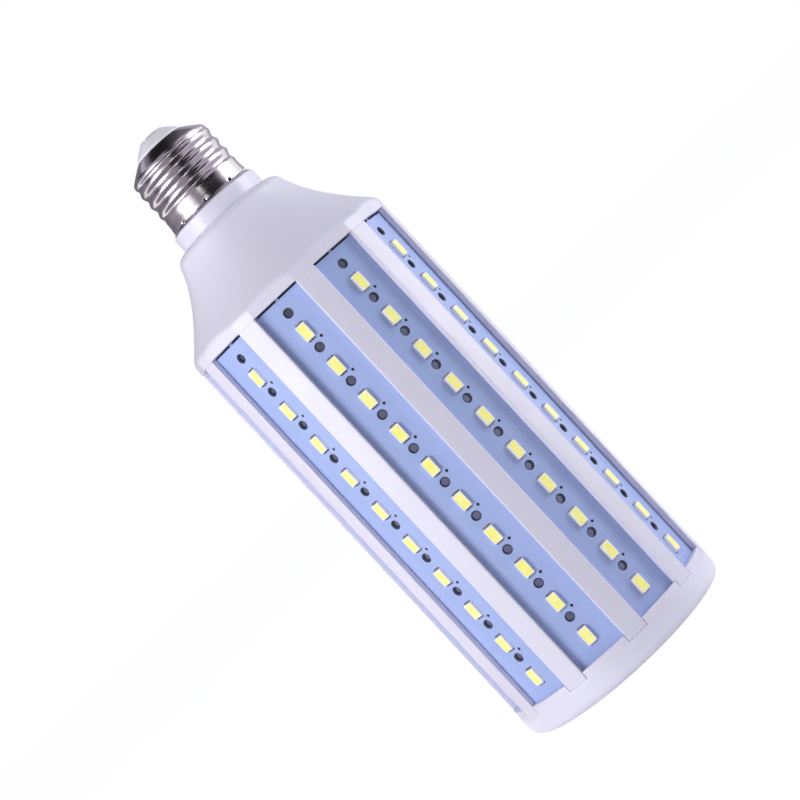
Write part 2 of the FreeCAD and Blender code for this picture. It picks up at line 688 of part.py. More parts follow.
def make_leads():
    """Leads from the driver to the contacts, to two of the strips, and from those on to the end board."""
    lead, sides = cell("lead_radius"), cell("lead_sides")
    top = cell("spigot_top")
    live = bar("live_lead", sides, lead, f"{cell('insulator_top')} - {top}", ("0", "0", top))
    neutral = bar(
        "neutral_lead", sides, lead, f"{cell('shell_bore')} - {cell('neutral_place')} - {cell('spigot_gap')}",
        (cell("neutral_place"), "0", f"{top} + {lead}"), lie_along_x=True)
    behind = -(size("board_back") - size("lead_radius") - size("groove_gap"))
    feed = lead_pair(
        "feed_leads",
        Vector(0, size("-feed_place"), size("driver_low") - size("lead_radius")),
        Vector(0, behind, size("board_top") - size("feed_drop")))
    end_feed = lead_pair(
        "end_board_leads",
        Vector(0, size("-end_feed_place"), size("disc_back") + size("lead_radius")),
        Vector(0, behind, size("cap_shoulder") + size("end_feed_rise")))
    return [live, neutral, feed, end_feed]


def make_strip_links():
    """Flat links behind the ribs that join each strip to the next one."""
    body = new_body("strip_links")
    sketch = new_sketch(body, "link_outline", "XY_Plane", "link_low", "half_step")
    rectangle(sketch, "-link_half", "link_half", "-link_outer", "-link_inner")
    link = pad(body, sketch, "link_width", "link")
    round_pattern(body, [link], "side_count", "links")
    return body


def make_all():
    pieces = [make_end_cap(), make_end_disc(), make_end_disc_leds(), make_housing(), make_screw_shell(),
              make_contact_insulator(), make_centre_contact(), make_driver_board(), make_strip_links()]
    pieces += make_driver_parts() + make_leads()
    for number in range(1, int(size("side_count")) + 1):
        for body in (make_strip(number), make_strip_leds(number)):
            face_side(body, number)
            pieces.append(body)
    return pieces


def test_document(pieces):
    """Stops if anything in the document failed or a piece isn't a valid solid."""
    for thing in doc.Objects:
        if "Invalid" in thing.State or "Error" in thing.State:
            raise RuntimeError(f"{thing.Name} failed: {thing.State}")
    for piece in pieces:
        if piece.Shape.isNull() or not piece.Shape.isValid() or not piece.Shape.Solids:
            raise RuntimeError(f"{piece.Label} has no valid solid")


fill_sheets()
sub_parts = make_all()
doc.recompute()
test_document(sub_parts)
os.makedirs("parts", exist_ok=True)
for sub_part in sub_parts:
    sub_part.Shape.exportStep(f"parts/{sub_part.Label}.step")
    print(f"{sub_part.Label}: {len(sub_part.Shape.Solids)} solids, {sub_part.Shape.Volume:.1f} mm3")
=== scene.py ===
# %% [markdown]
# # A corn LED bulb
#
# The bulb is ten light strips set upright between white ribs, with a screw base at one end and a cap at
# the other. The solids give every place and size. This lesson makes the surfaces that the eye lands on:
# the moulded housing, the drilled boards, the LED packages, the rolled screw thread, and their finishes.
# All shapes are worked out in millimetres and become metres when they go into a mesh.

import math

import bmesh
import bpy
import numpy as np
from mathutils import Matrix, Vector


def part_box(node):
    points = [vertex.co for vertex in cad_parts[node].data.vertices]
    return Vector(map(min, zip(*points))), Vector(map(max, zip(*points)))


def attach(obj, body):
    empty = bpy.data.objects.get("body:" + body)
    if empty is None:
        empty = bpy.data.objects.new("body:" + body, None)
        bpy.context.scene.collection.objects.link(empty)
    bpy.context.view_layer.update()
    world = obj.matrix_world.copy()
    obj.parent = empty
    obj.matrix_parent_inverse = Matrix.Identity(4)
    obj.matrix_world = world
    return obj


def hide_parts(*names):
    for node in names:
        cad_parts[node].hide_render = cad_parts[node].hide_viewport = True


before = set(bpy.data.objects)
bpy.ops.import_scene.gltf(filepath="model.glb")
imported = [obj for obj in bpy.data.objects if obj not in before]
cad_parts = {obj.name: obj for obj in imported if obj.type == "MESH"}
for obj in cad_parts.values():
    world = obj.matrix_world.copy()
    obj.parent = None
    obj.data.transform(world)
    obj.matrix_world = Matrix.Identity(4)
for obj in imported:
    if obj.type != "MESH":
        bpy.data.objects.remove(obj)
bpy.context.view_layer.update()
MM = 0.001
SIDES = 10
SIDE_STEP = 2 * math.pi / SIDES

# %% [markdown]
# ## The camera
#
# The photograph looks at the bulb from a little to one side, almost level, with the camera rolled so that
# the bulb lies across the picture. A camera can be aimed with a constraint, but a fixed matrix is easier to
# check: its columns are the picture's right, the picture's up, and the way back from the bulb to the lens.

# %% Set the camera
CAMERA_PLACE = np.array([93.8, -597.0, 104.9]) * MM
LOOK_ALONG = np.array([-0.15338, 0.98798, -0.01944])
PICTURE_RIGHT = np.array([0.72641, 0.09940, -0.68003])
lens = bpy.data.cameras.new("camera")
lens.sensor_width = 36.0
lens.lens = 99.0
camera = bpy.data.objects.new("camera", lens)
bpy.context.scene.collection.objects.link(camera)
back = -LOOK_ALONG / np.linalg.norm(LOOK_ALONG)
right = PICTURE_RIGHT - back * PICTURE_RIGHT.dot(back)
right /= np.linalg.norm(right)
pose = np.eye(4)
pose[:3, :3] = np.column_stack([right, np.cross(back, right), back])
pose[:3, 3] = CAMERA_PLACE
camera.matrix_world = Matrix(pose.tolist())
bpy.context.scene.camera = camera
print("camera at", np.round(CAMERA_PLACE, 3).tolist(), "with a lens of", lens.lens, "mm")

# %% [markdown]
# ## From a grid of points to a piece
#
# Most pieces here are a sheet: rows and columns of points that a formula gives. `quads` numbers the four
# corners of each cell of such a grid, and `make_piece` puts one or more sheets into a mesh, closes the
# seams by merging points that coincide, turns the faces outwards, and ties the piece to the bulb.

# %% From sheets to a piece
MERGE_WITHIN, SLIVER = 2e-6, 1e-7


def quads(rows, columns, close_rows=False, close_columns=False):
    """Each cell's corners: a point, the next in its row, and the two below them in the next row."""
    i = np.arange(rows if close_rows else rows - 1)[:, None]
    j = np.arange(columns if close_columns else columns - 1)[None, :]
    i_next, j_next = (i + 1) % rows, (j + 1) % columns
    corners = np.broadcast_arrays(i * columns + j, i * columns + j_next,
                                  i_next * columns + j_next, i_next * columns + j)
    return np.stack(corners, -1).reshape(-1, 4)


def closed_bar(rings, number):
    """The sheets of a bar that rings of points outline: its sides, and one face over each end."""
    end = [np.arange(rings.shape[1])]
    sides = quads(*rings.shape[:2], close_columns=True)
    return [(rings, sides, number), (rings[:1], end, number), (rings[-1:], end, number)]


def make_piece(name, sheets, finishes, nodes, crease=40.0, uv=None):
    """Sheets are (points in mm, faces, number of the finish). Faces are split by shading where they meet at
    more than `crease` degrees."""
    points = np.concatenate([sheet[0].reshape(-1, 3) for sheet in sheets]) * MM
    faces, numbers, start = [], [], 0
    for sheet_points, sheet_faces, number in sheets:
        faces += (np.asarray(sheet_faces) + start).tolist()
        numbers.append(np.broadcast_to(number, len(sheet_faces)))
        start += sheet_points.size // 3
    mesh = bpy.data.meshes.new(name)
    mesh.from_pydata(points.tolist(), [], faces)
    mesh.polygons.foreach_set("material_index", np.concatenate(numbers).astype(np.int32))
    mesh.polygons.foreach_set("use_smooth", np.ones(len(faces), bool))
    if uv is not None:
        corner_points = np.empty(len(mesh.loops), np.int32)
        mesh.loops.foreach_get("vertex_index", corner_points)
        layer = mesh.uv_layers.new(name="board")
        layer.data.foreach_set("uv", uv[corner_points].ravel().astype(np.float32))
    skin = bmesh.new()
    skin.from_mesh(mesh)
    bmesh.ops.remove_doubles(skin, verts=skin.verts, dist=MERGE_WITHIN)
    bmesh.ops.dissolve_degenerate(skin, edges=skin.edges, dist=SLIVER)
    bmesh.ops.recalc_face_normals(skin, faces=skin.faces)
    skin.to_mesh(mesh)
    skin.free()
    mesh.set_sharp_from_angle(angle=math.radians(crease))
    for finish in finishes:
        mesh.materials.append(finish)
    piece = bpy.data.objects.new(name, mesh)
    bpy.context.scene.collection.objects.link(piece)
    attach(piece, "root")
    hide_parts(*nodes)
    span = (points.max(0) - points.min(0)) / MM
    print(f"{name}: {len(mesh.polygons)} faces, {np.round(span, 1).tolist()} mm")


print("points closer than", MERGE_WITHIN / MM, "mm are merged")


# %% Formulas for points
def around(radius, height, angle):
    """A turned sheet: x = r sin a, y = -r cos a, z = height, so that angle 0 is the first strip's side."""
    radius, height, angle = np.broadcast_arrays(radius, height, angle)
    return np.stack([radius * np.sin(angle), -radius * np.cos(angle), height], -1)


def on_side(side, across, outward, height):
    """Points of one side of the bulb: across it, out from the axis, and up, turned to the side's angle."""
    angle = side * SIDE_STEP
    across, outward, height = np.broadcast_arrays(across, outward, height)
    return np.stack([across * math.cos(angle) + outward * math.sin(angle),
                     across * math.sin(angle) - outward * math.cos(angle), height], -1)


def eased(corners, cut, steps=6, closed=False):
    """A path whose corners are eased. From a point `cut` before corner B to a point `cut` after it runs
    (1-t)^2 A + 2t(1-t) B + t^2 C. An open path keeps its two ends."""
    corners = np.asarray(corners, float)
    cut = np.broadcast_to(np.asarray(cut, float), len(corners))[:, None]
    before = np.roll(corners, 1, 0) - corners
    after = np.roll(corners, -1, 0) - corners
    a = corners + cut * before / np.linalg.norm(before, axis=1, keepdims=True)
    c = corners + cut * after / np.linalg.norm(after, axis=1, keepdims=True)
    t = np.linspace(0, 1, steps)[None, :, None]
    curve = (1 - t) ** 2 * a[:, None] + 2 * t * (1 - t) * corners[:, None] + t ** 2 * c[:, None]
    if closed:
        return curve.reshape(-1, 2)
    return np.concatenate([corners[:1], curve[1:-1].reshape(-1, 2), corners[-1:]])


def bow(start, pull, finish, t):
    """The curve (1-t)^2 A + 2t(1-t) B + t^2 C from start to finish, drawn towards pull."""
    t = np.asarray(t, float)[:, None]
    start, pull, finish = (np.asarray(point, float) for point in (start, pull, finish))
    return (1 - t) ** 2 * start + 2 * t * (1 - t) * pull + t ** 2 * finish


def soft_min(a, b, blend):
    """The smaller of a and b, with the corner between them rounded: -k log(e^(-a/k) + e^(-b/k))."""
    low = np.minimum(a, b)
    return low - blend * np.log(np.exp((low - a) / blend) + np.exp((low - b) / blend))


def ramp(x, low, high):
    """0 below low, 1 above high, and 3s^2 - 2s^3 between."""
    s = np.clip((x - low) / (high - low), 0, 1)
    return s * s * (3 - 2 * s)


def both_ways(half):
    """Places on one half of a side and their mirror images, in order."""
    return np.concatenate([-np.asarray(half)[::-1], half])


print("half way up a ramp from 0 to 1:", float(ramp(0.5, 0, 1)))

# %% [markdown]
# ## Shared finishes
#
# Moulded plastic, lacquer and plated metal all vary a little over their surface: a slow cloudiness in
# colour, a finer change in gloss, and a grain that catches the light. One shader group holds that effect.
# It reads a position and puts out a colour, a roughness and a height, so each material sets its own scale
# and amount, and keeps its own Principled shader with the values that are the same all over.


# %% Node helpers
def add_node(tree, kind, inputs=None, **settings):
    """A new node with its settings, its plain input values, and links from the sockets that are given."""
    node = tree.nodes.new(kind)
    for name, value in settings.items():
        setattr(node, name, value)
    for name, value in (inputs or {}).items():
        if isinstance(value, bpy.types.NodeSocket):
            tree.links.new(value, node.inputs[name])
        else:
            node.inputs[name].default_value = value
    return node


def maths(tree, operation, *values):
    """One Math node on numbers or sockets, and its result."""
    return add_node(tree, "ShaderNodeMath", dict(enumerate(values)), operation=operation).outputs["Value"]


def new_group(name, inputs, outputs):
    """An empty shader group with its named sockets, and its input and output nodes' sockets."""
    group = bpy.data.node_groups.new(name, "ShaderNodeTree")
    for label, kind, value in inputs:
        socket = group.interface.new_socket(label, in_out="INPUT", socket_type="NodeSocket" + kind)
        if value is not None:
            socket.default_value = value
    for label, kind in outputs:
        group.interface.new_socket(label, in_out="OUTPUT", socket_type="NodeSocket" + kind)
    return group, group.nodes.new("NodeGroupInput").outputs, group.nodes.new("NodeGroupOutput").inputs


WHITE = (1.0, 1.0, 1.0, 1.0)
print("node helpers for Blender", bpy.app.version_string)

# %% The cloudy grain group
CLOUD_BAND = (0.32, 0.68)
grain_group, given, put = new_group(
    "cloudy grain",
    [("Position", "Vector", None), ("Pale", "Color", WHITE), ("Deep", "Color", WHITE),
     ("Cloud Scale", "Float", 60.0), ("Grain Scale", "Float", 2500.0),
     ("Gloss Low", "Float", 0.3), ("Gloss High", "Float", 0.4)],
    [("Color", "Color"), ("Roughness", "Float"), ("Height", "Float")])
cloud = add_node(grain_group, "ShaderNodeTexNoise",
                 {"Vector": given["Position"], "Scale": given["Cloud Scale"],
                  "Detail": 4.0, "Roughness": 0.6})
grain = add_node(grain_group, "ShaderNodeTexNoise",
                 {"Vector": given["Position"], "Scale": given["Grain Scale"],
                  "Detail": 2.0, "Roughness": 0.5})
spread = add_node(grain_group, "ShaderNodeMapRange",
                  {"Value": cloud.outputs["Fac"], "From Min": CLOUD_BAND[0], "From Max": CLOUD_BAND[1]})
tint = add_node(grain_group, "ShaderNodeMix",
                {"Factor": spread.outputs["Result"], "A": given["Pale"], "B": given["Deep"]},
                data_type="RGBA")
both = maths(grain_group, "MULTIPLY", spread.outputs["Result"], grain.outputs["Fac"])
gloss = add_node(grain_group, "ShaderNodeMapRange",
                 {"Value": both, "From Max": 0.6,
                  "To Min": given["Gloss Low"], "To Max": given["Gloss High"]})
for label, socket in (("Color", tint.outputs["Result"]), ("Roughness", gloss.outputs["Result"]),
                      ("Height", grain.outputs["Fac"])):
    grain_group.links.new(socket, put[label])
print("group:", grain_group.name, "with", len(grain_group.nodes), "nodes")


# %% A material with the cloudy grain
def grain_finish(name, pale, deep, gloss, cloud, grain, relief, along=1.0, **plain):
    """A Principled material fed by the cloudy grain, with the scales of cloud and grain and the grain's
    relief in mm. `along` below 1 draws the grain out along the bulb, and above 1 round it. Plain values go
    straight to the shader's sockets."""
    material = bpy.data.materials.new(name)
    material.use_nodes = True
    tree = material.node_tree
    shader = tree.nodes["Principled BSDF"]
    place = add_node(tree, "ShaderNodeTexCoord")
    drawn = add_node(tree, "ShaderNodeVectorMath", {0: place.outputs["Object"], 1: (1.0, 1.0, along)},
                     operation="MULTIPLY")
    look = add_node(tree, "ShaderNodeGroup", node_tree=grain_group)
    tree.links.new(drawn.outputs["Vector"], look.inputs["Position"])
    for label, value in (("Pale", (*pale, 1.0)), ("Deep", (*deep, 1.0)), ("Gloss Low", gloss[0]),
                         ("Gloss High", gloss[1]), ("Cloud Scale", cloud), ("Grain Scale", grain)):
        look.inputs[label].default_value = value
    bump = add_node(tree, "ShaderNodeBump",
                    {"Height": look.outputs["Height"], "Strength": 1.0, "Distance": relief * MM})
    tree.links.new(look.outputs["Color"], shader.inputs["Base Color"])
    tree.links.new(look.outputs["Roughness"], shader.inputs["Roughness"])
    tree.links.new(bump.outputs["Normal"], shader.inputs["Normal"])
    for label, value in plain.items():
        shader.inputs[label.replace("_", " ")].default_value = value
    return material


white_plastic = grain_finish("white plastic", (0.86, 0.835, 0.965), (0.83, 0.805, 0.935), (0.34, 0.46),
                             cloud=45.0, grain=3000.0, relief=0.002,
                             Coat_Weight=0.09, Coat_Roughness=0.2, Specular_IOR_Level=0.4)
# The inside of the housing is the same white plastic. Its near-black finish is painted shade, for the dark
# hollow seen through the gap under the rim.
inside_painted_shade = grain_finish("plastic inside painted shade", (0.06, 0.058, 0.065), (0.045, 0.044, 0.05), (0.5, 0.6),
                             cloud=45.0, grain=3000.0, relief=0.002)
print("first finishes:", white_plastic.name, "and", inside_painted_shade.name)

# %% [markdown]
# ## The housing
#
# The real housing is one white moulding: a neck ring, a flare that opens like a trumpet, a rim with twenty
# flats, and ten ribs that hang from it. A subdivision cage could give the flare, but its flats would melt.
# Here the turned outline is a path, and the rim comes from a soft minimum of two radii, the flare's and the
# flat-sided outline's, which leaves the rounded crease that a mould has between them. Two fine mould seams
# run down the flare.

# %% Outline of the flat-sided rim
BODY, WINDOW_HALF, FLAT_BLEND = 34.35, 7.4, 0.05
WINDOW_FACE = math.sqrt(BODY ** 2 - WINDOW_HALF ** 2)
RIB_FACE = WINDOW_FACE * math.cos(SIDE_STEP / 2) + WINDOW_HALF * math.sin(SIDE_STEP / 2)
CORNER = math.asin(WINDOW_HALF / BODY)
SEAM = math.radians(76)


def from_window(angle):
    """The angle to the middle of the nearest window, from -18 to 18 degrees."""
    return (angle + SIDE_STEP / 2) % SIDE_STEP - SIDE_STEP / 2


def rim_radius(angle):
    """The radius of twenty flats: a window's flat d / cos(a), a rib's flat d / cos(18 deg - a)."""
    off = np.abs(from_window(angle))
    return soft_min(WINDOW_FACE / np.cos(off), RIB_FACE / np.cos(SIDE_STEP / 2 - off), FLAT_BLEND)


side_columns = both_ways(np.concatenate([
    np.radians([0.6, 3, 6, 9]), CORNER + np.radians(both_ways([0.1, 0.3, 0.7, 1.3])),
    np.radians([15.2, 17.0])]))
seam_columns = np.radians([-0.5, -0.3, -0.15, 0, 0.15, 0.3, 0.5])
columns = np.concatenate([(np.arange(SIDES)[:, None] * SIDE_STEP + side_columns).ravel(),
                          SEAM + seam_columns, SEAM + math.pi + seam_columns])
columns = np.sort(columns % (2 * math.pi))
print("columns round the rim:", len(columns))


# %% Sizes taken from the solids
def solid_box(node):
    """The low and the high corner of a solid's box, in millimetres."""
    return [np.array(corner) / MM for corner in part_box(node)]


board_low, board_high = solid_box("strip_01")
BOARD_FACE, BOARD_BACK = -board_low[1], -board_high[1]
BOARD_HALF, BOARD_LOW, BOARD_TOP = board_high[0], board_low[2], board_high[2]
SHELL_LOW, SHELL_TOP = (corner[2] for corner in solid_box("screw_shell"))
SPIGOT_TOP = solid_box("housing")[1][2]
print("boards up to", round(BOARD_TOP, 2), "mm, their faces", round(BOARD_FACE, 2), "mm out")

# %% Path of the turned part
RIM_LOW, RIM_TOP, FLARE_TOP, NECK_FOOT = 135.0, 138.0, 159.6, 162.25
RIM_OUT, WAIST, SHOULDER_IN, NECK, SPIGOT, SPIGOT_BORE = 34.3, 18.75, 15.4, 14.4, 12.6, 9.0
FLARE_PULL, SHOULDER_PULL = (22.0, 150.1), (18.2, 161.9)
RIM_EASE, BEYOND_RIM = 0.35, 60.0
GROOVE_PLAY = 0.1
GROOVE_OUT, GROOVE_IN = BOARD_FACE + GROOVE_PLAY, BOARD_BACK - GROOVE_PLAY
turn = np.radians(np.linspace(0, 90, 6))
lip_rows = np.column_stack([np.full(len(turn), BEYOND_RIM), RIM_LOW + RIM_EASE * (1 - np.cos(turn)),
                            RIM_EASE * (1 - np.sin(turn))])
band_rows = np.array([(BEYOND_RIM, RIM_LOW + 0.7, 0.0), (BEYOND_RIM, RIM_LOW + 1.1, 0.0)])
flare = bow((RIM_OUT, RIM_TOP), FLARE_PULL, (WAIST, FLARE_TOP),
            np.concatenate([np.linspace(-0.07, 0.12, 30), np.linspace(0.14, 1, 34)]))
shoulder = bow((WAIST, FLARE_TOP), SHOULDER_PULL, (SHOULDER_IN, NECK_FOOT), np.linspace(0.08, 1, 12))
neck = eased([(SHOULDER_IN, NECK_FOOT), (14.15, NECK_FOOT - 0.02), (14.12, NECK_FOOT + 0.22),
              (NECK, NECK_FOOT + 0.35), (NECK, SHELL_LOW), (SPIGOT, SHELL_LOW), (SPIGOT, SPIGOT_TOP),
              (SPIGOT_BORE, SPIGOT_TOP)], [0, 0.05, 0.05, 0.1, 0.3, 0.1, 0.2, 0], 5)[1:]
hollow = np.array([(SPIGOT_BORE, 161.0), (15.4, 159.0), (18.6, 153.0), (23.4, 145.9), (28.4, 138.5),
                   (28.6, RIM_LOW), (GROOVE_OUT, RIM_LOW)])
turned_path = np.concatenate([flare, shoulder, neck])
rows = np.concatenate([lip_rows, band_rows, np.column_stack([turned_path, np.zeros(len(turned_path))])])
print("path:", len(rows), "rows outside and", len(hollow), "inside")

# %% The turned part as one sheet
RIM_BLEND = 0.3
SEAM_HIGH, SEAM_WIDE, SEAM_OUT = 0.035, 0.10, 25
over_window = 1 - ramp(np.abs(from_window(columns)), CORNER - 0.012, CORNER + 0.004)
radius = soft_min(rim_radius(columns)[None, :], rows[:, :1], RIM_BLEND) - rows[:, 2:] * over_window
seam_off = np.abs((columns - SEAM + math.pi / 2) % math.pi - math.pi / 2) * SEAM_OUT
row_height = rows[:, 1:2]
on_flare = ramp(row_height, RIM_TOP + 0.6, RIM_TOP + 1.6)
on_flare = on_flare * (1 - ramp(row_height, FLARE_TOP - 0.6, FLARE_TOP + 0.4))
radius = radius + SEAM_HIGH * np.exp(-(seam_off / SEAM_WIDE) ** 2) * on_flare
hollow_radius = np.broadcast_to(hollow[:, :1], (len(hollow), len(columns)))
turned_skin = around(np.concatenate([radius, hollow_radius]),
                     np.concatenate([rows[:, 1], hollow[:, 1]])[:, None], columns)
# The hollow's rows, and the rim's underside behind the boards, take the dark finish: painted shade, not a
# different plastic.
painted_shade_rows = (np.arange(len(turned_skin)) >= len(rows)).astype(int)
painted_shade_rows[-1] = 0
housing_sheets = [(turned_skin, quads(len(turned_skin), len(columns), True, True),
                   np.repeat(painted_shade_rows, len(columns)))]
print("turned part:", turned_skin.shape[0], "rows, up to", round(float(radius.max()), 2), "mm out")

# %% [markdown]
# A rib is a bar of constant section: a slab on the outside, a groove on each side for the edge of a strip,
# and a foot behind. Its outline is written for one half, mirrored, eased at the corners, and carried along
# the bulb. The lower end is drawn in a little, so that a fine line parts it from the cap, and the upper end
# is drawn in for a shallow groove under the rim.

# %% The ribs
GROOVE_HALF, FOOT_STEP, FOOT_DEEP, RIB_MIDDLE, RIB_LOW = 8.4, 1.0, 1.3, 32.6, 7.25
half = np.array([(WINDOW_FACE, WINDOW_HALF), (GROOVE_OUT, WINDOW_HALF), (GROOVE_OUT, GROOVE_HALF),
                 (GROOVE_IN, GROOVE_HALF), (GROOVE_IN, GROOVE_HALF - FOOT_STEP),
                 (GROOVE_IN - FOOT_DEEP, GROOVE_HALF - FOOT_STEP)])
slope_cos, slope_sin = math.cos(SIDE_STEP / 2), math.sin(SIDE_STEP / 2)
out = half[:, 0] * slope_cos + half[:, 1] * slope_sin
aside = half[:, 0] * slope_sin - half[:, 1] * slope_cos
section = np.concatenate([np.column_stack([aside, out]), np.column_stack([-aside, out])[::-1]])
ease = np.array([0.6, 0.2, 0.1, 0.1, 0.1, 0.1])
section = eased(section, np.concatenate([ease, ease[::-1]]), 6, closed=True)
rib_rows = np.array([(RIB_LOW, 0.98), (RIB_LOW + 0.06, 0.99), (RIB_LOW + 0.2, 1.0),
                     (RIM_LOW - 0.24, 1.0), (RIM_LOW - 0.12, 0.95), (RIM_LOW + 0.02, 0.95)])
middle = np.array([0.0, RIB_MIDDLE])
bar = middle + (section - middle)[None] * rib_rows[:, 1][:, None, None]
for side in range(SIDES):
    housing_sheets += closed_bar(on_side(side + 0.5, bar[..., 0], bar[..., 1], rib_rows[:, :1]), 0)
print("rib section:", len(section), "points,", round(float(section[:, 0].max() * 2), 2), "mm wide")

# %% [markdown]
# Under the rim, over the middle of each strip, a small nub stops the strip. In the photograph it breaks the
# dark line between strip and rim in two. It is a short block, made as a ring of four corners on two heights.

# %% The nubs, and the housing as a piece
NUB_HALF, NUB_OUT, NUB_IN = 0.45, -0.6, -1.0
nub = np.array([(-NUB_HALF, NUB_OUT), (NUB_HALF, NUB_OUT), (NUB_HALF, NUB_IN), (-NUB_HALF, NUB_IN)])
nub_heights = np.array([[BOARD_TOP], [RIM_LOW + 0.03]])
for side in range(SIDES):
    housing_sheets += closed_bar(on_side(side, nub[:, 0], BOARD_FACE + nub[:, 1], nub_heights), 0)
make_piece("housing_moulding", housing_sheets, [white_plastic, inside_painted_shade], ["housing"],
           crease=32.0)

# %% [markdown]
# ## The end cap
#
# The cap is turned too, but its top edge isn't level: a tongue rises over the end of each strip and the ribs
# end in notches between the tongues. The height of the top rows is therefore a function of the angle, with
# columns crowded where it steps. Seen from below, the cap has a ten-sided recess for the end board.

# %% Columns and outlines of the cap
CAP_BODY, _, CAP_TOP = solid_box("end_cap")[1]
END_FACE, END_BACK = (corner[2] for corner in solid_box("end_disc"))
SHOULDER, CAP_EDGE, TOP_EASE, CAP_SIDE_TOP = BOARD_LOW, 2.8, 0.35, 5.5
TONGUE_HALF, TONGUE_FACE = 7.33, BOARD_FACE + 0.3
SEAT_CORNER, HOLE_CORNER = 28.4, 24.2
tongue_edge = math.asin(TONGUE_HALF / CAP_BODY)
cap_side = both_ways(np.concatenate([
    np.radians([0.5, 2.5, 5, 7.5, 9.5, 10.6]), tongue_edge + np.radians(both_ways([0.05, 0.15, 0.35])),
    np.radians([13, 14, 15, 16, 17.5])]))
cap_angle = (np.arange(SIDES)[:, None] * SIDE_STEP + cap_side).ravel()


def ten_sided(corner_radius, angle):
    """The radius of a ten-sided outline with a corner towards the first strip: d / cos(a - 18 deg)."""
    return corner_radius * math.cos(SIDE_STEP / 2) / np.cos(angle % SIDE_STEP - SIDE_STEP / 2)


seat, hole = ten_sided(SEAT_CORNER, cap_angle), ten_sided(HOLE_CORNER, cap_angle)
off_window = from_window(cap_angle)
over_strip = 1 - ramp(np.abs(off_window), tongue_edge - 0.001, tongue_edge + 0.001)
top = SHOULDER + (CAP_TOP - SHOULDER) * over_strip
flat_in = TONGUE_FACE / np.cos(off_window)
print("cap:", len(cap_angle), "columns, tongues", round(2 * TONGUE_HALF, 2), "mm wide")

# %% The cap as one sheet
lower = np.radians(np.linspace(-90, 0, 12))[:, None]
upper = np.radians(np.linspace(0, 90, 5))[:, None]
cap_rows = [
    (hole, END_BACK), (seat, END_BACK), (seat, 0.3), (seat + 0.08, 0.08), (seat + 0.3, 0.0),
    (CAP_BODY - CAP_EDGE + CAP_EDGE * np.cos(lower), CAP_EDGE + CAP_EDGE * np.sin(lower)),
    (CAP_BODY, CAP_SIDE_TOP),
    (CAP_BODY - TOP_EASE + TOP_EASE * np.cos(upper), top - TOP_EASE + TOP_EASE * np.sin(upper)),
    (flat_in + 0.2, top), (flat_in + 0.05, np.maximum(top - 0.05, SHOULDER)),
    (flat_in, np.maximum(top - 0.2, SHOULDER)), (flat_in, SHOULDER), (hole, SHOULDER)]
cap_skin = np.concatenate([around(*row, cap_angle).reshape(-1, len(cap_angle), 3) for row in cap_rows])
make_piece("end_cap_moulding", [(cap_skin, quads(len(cap_skin), len(cap_angle), True, True), 0)],
           [white_plastic], ["end_cap"], crease=32.0)

# %% [markdown]
# ## The light strips
#
# A strip is an aluminium board with a blue-white lacquer and a row of round vent holes. The lacquer carries
# small printed dots. A picture could hold them, but a formula stays sharp at any size: a UV map in board
# widths and lengths gives the place, and the distance to the nearest dot of a regular row makes a mask.
# The bare backs glow faintly, for the light that bounces about inside a bulb and shows through its vents.

# %% The lacquer with its printed dots
BOARD_WIDTH, BOARD_LENGTH = 2 * BOARD_HALF, BOARD_TOP - BOARD_LOW
LED_LOW, LED_PITCH, LED_COUNT = 15.5, 12.0, 10
DOT_ACROSS, DOT_BELOW, DOT_RADIUS, DOT_SOFT = 2.4, 3.5, 0.39, 0.08
DOTS_MIDDLE, DOTS_REACH, DOT_INK = 0.51, 0.425, (0.012, 0.010, 0.018, 1.0)
LACQUER = ((0.46, 0.56, 0.93), (0.40, 0.505, 0.86), (0.26, 0.36))
strip_lacquer = grain_finish("strip lacquer", *LACQUER, cloud=160.0, grain=2200.0, relief=0.002, along=0.06,
                             Coat_Weight=0.2, Coat_Roughness=0.15)
tree = strip_lacquer.node_tree
board_place = add_node(tree, "ShaderNodeUVMap", uv_map="board")
spot = add_node(tree, "ShaderNodeSeparateXYZ", {"Vector": board_place.outputs["UV"]}).outputs
across = maths(tree, "MULTIPLY", maths(tree, "SUBTRACT", spot["X"], 0.5), BOARD_WIDTH)
sideways = maths(tree, "SUBTRACT", across, DOT_ACROSS)
upwards = maths(tree, "MULTIPLY", spot["Y"], BOARD_LENGTH)
from_first = maths(tree, "SUBTRACT", upwards, LED_LOW - BOARD_LOW - DOT_BELOW)
lengthways = maths(tree, "WRAP", from_first, LED_PITCH / 2, -LED_PITCH / 2)
squares = maths(tree, "ADD", maths(tree, "POWER", sideways, 2.0), maths(tree, "POWER", lengthways, 2.0))
dot = add_node(tree, "ShaderNodeMapRange",
               {"Value": maths(tree, "SQRT", squares), "From Min": DOT_RADIUS,
                "From Max": DOT_RADIUS + DOT_SOFT, "To Min": 1.0, "To Max": 0.0})
off_middle = maths(tree, "ABSOLUTE", maths(tree, "SUBTRACT", spot["Y"], DOTS_MIDDLE))
mask = maths(tree, "MULTIPLY", dot.outputs["Result"], maths(tree, "LESS_THAN", off_middle, DOTS_REACH))
base_color = tree.nodes["Principled BSDF"].inputs["Base Color"]
printed = add_node(tree, "ShaderNodeMix",
                   {"Factor": mask, "A": base_color.links[0].from_socket, "B": DOT_INK}, data_type="RGBA")
tree.links.new(printed.outputs["Result"], base_color)
print("dots every", LED_PITCH, "mm on the lacquer")

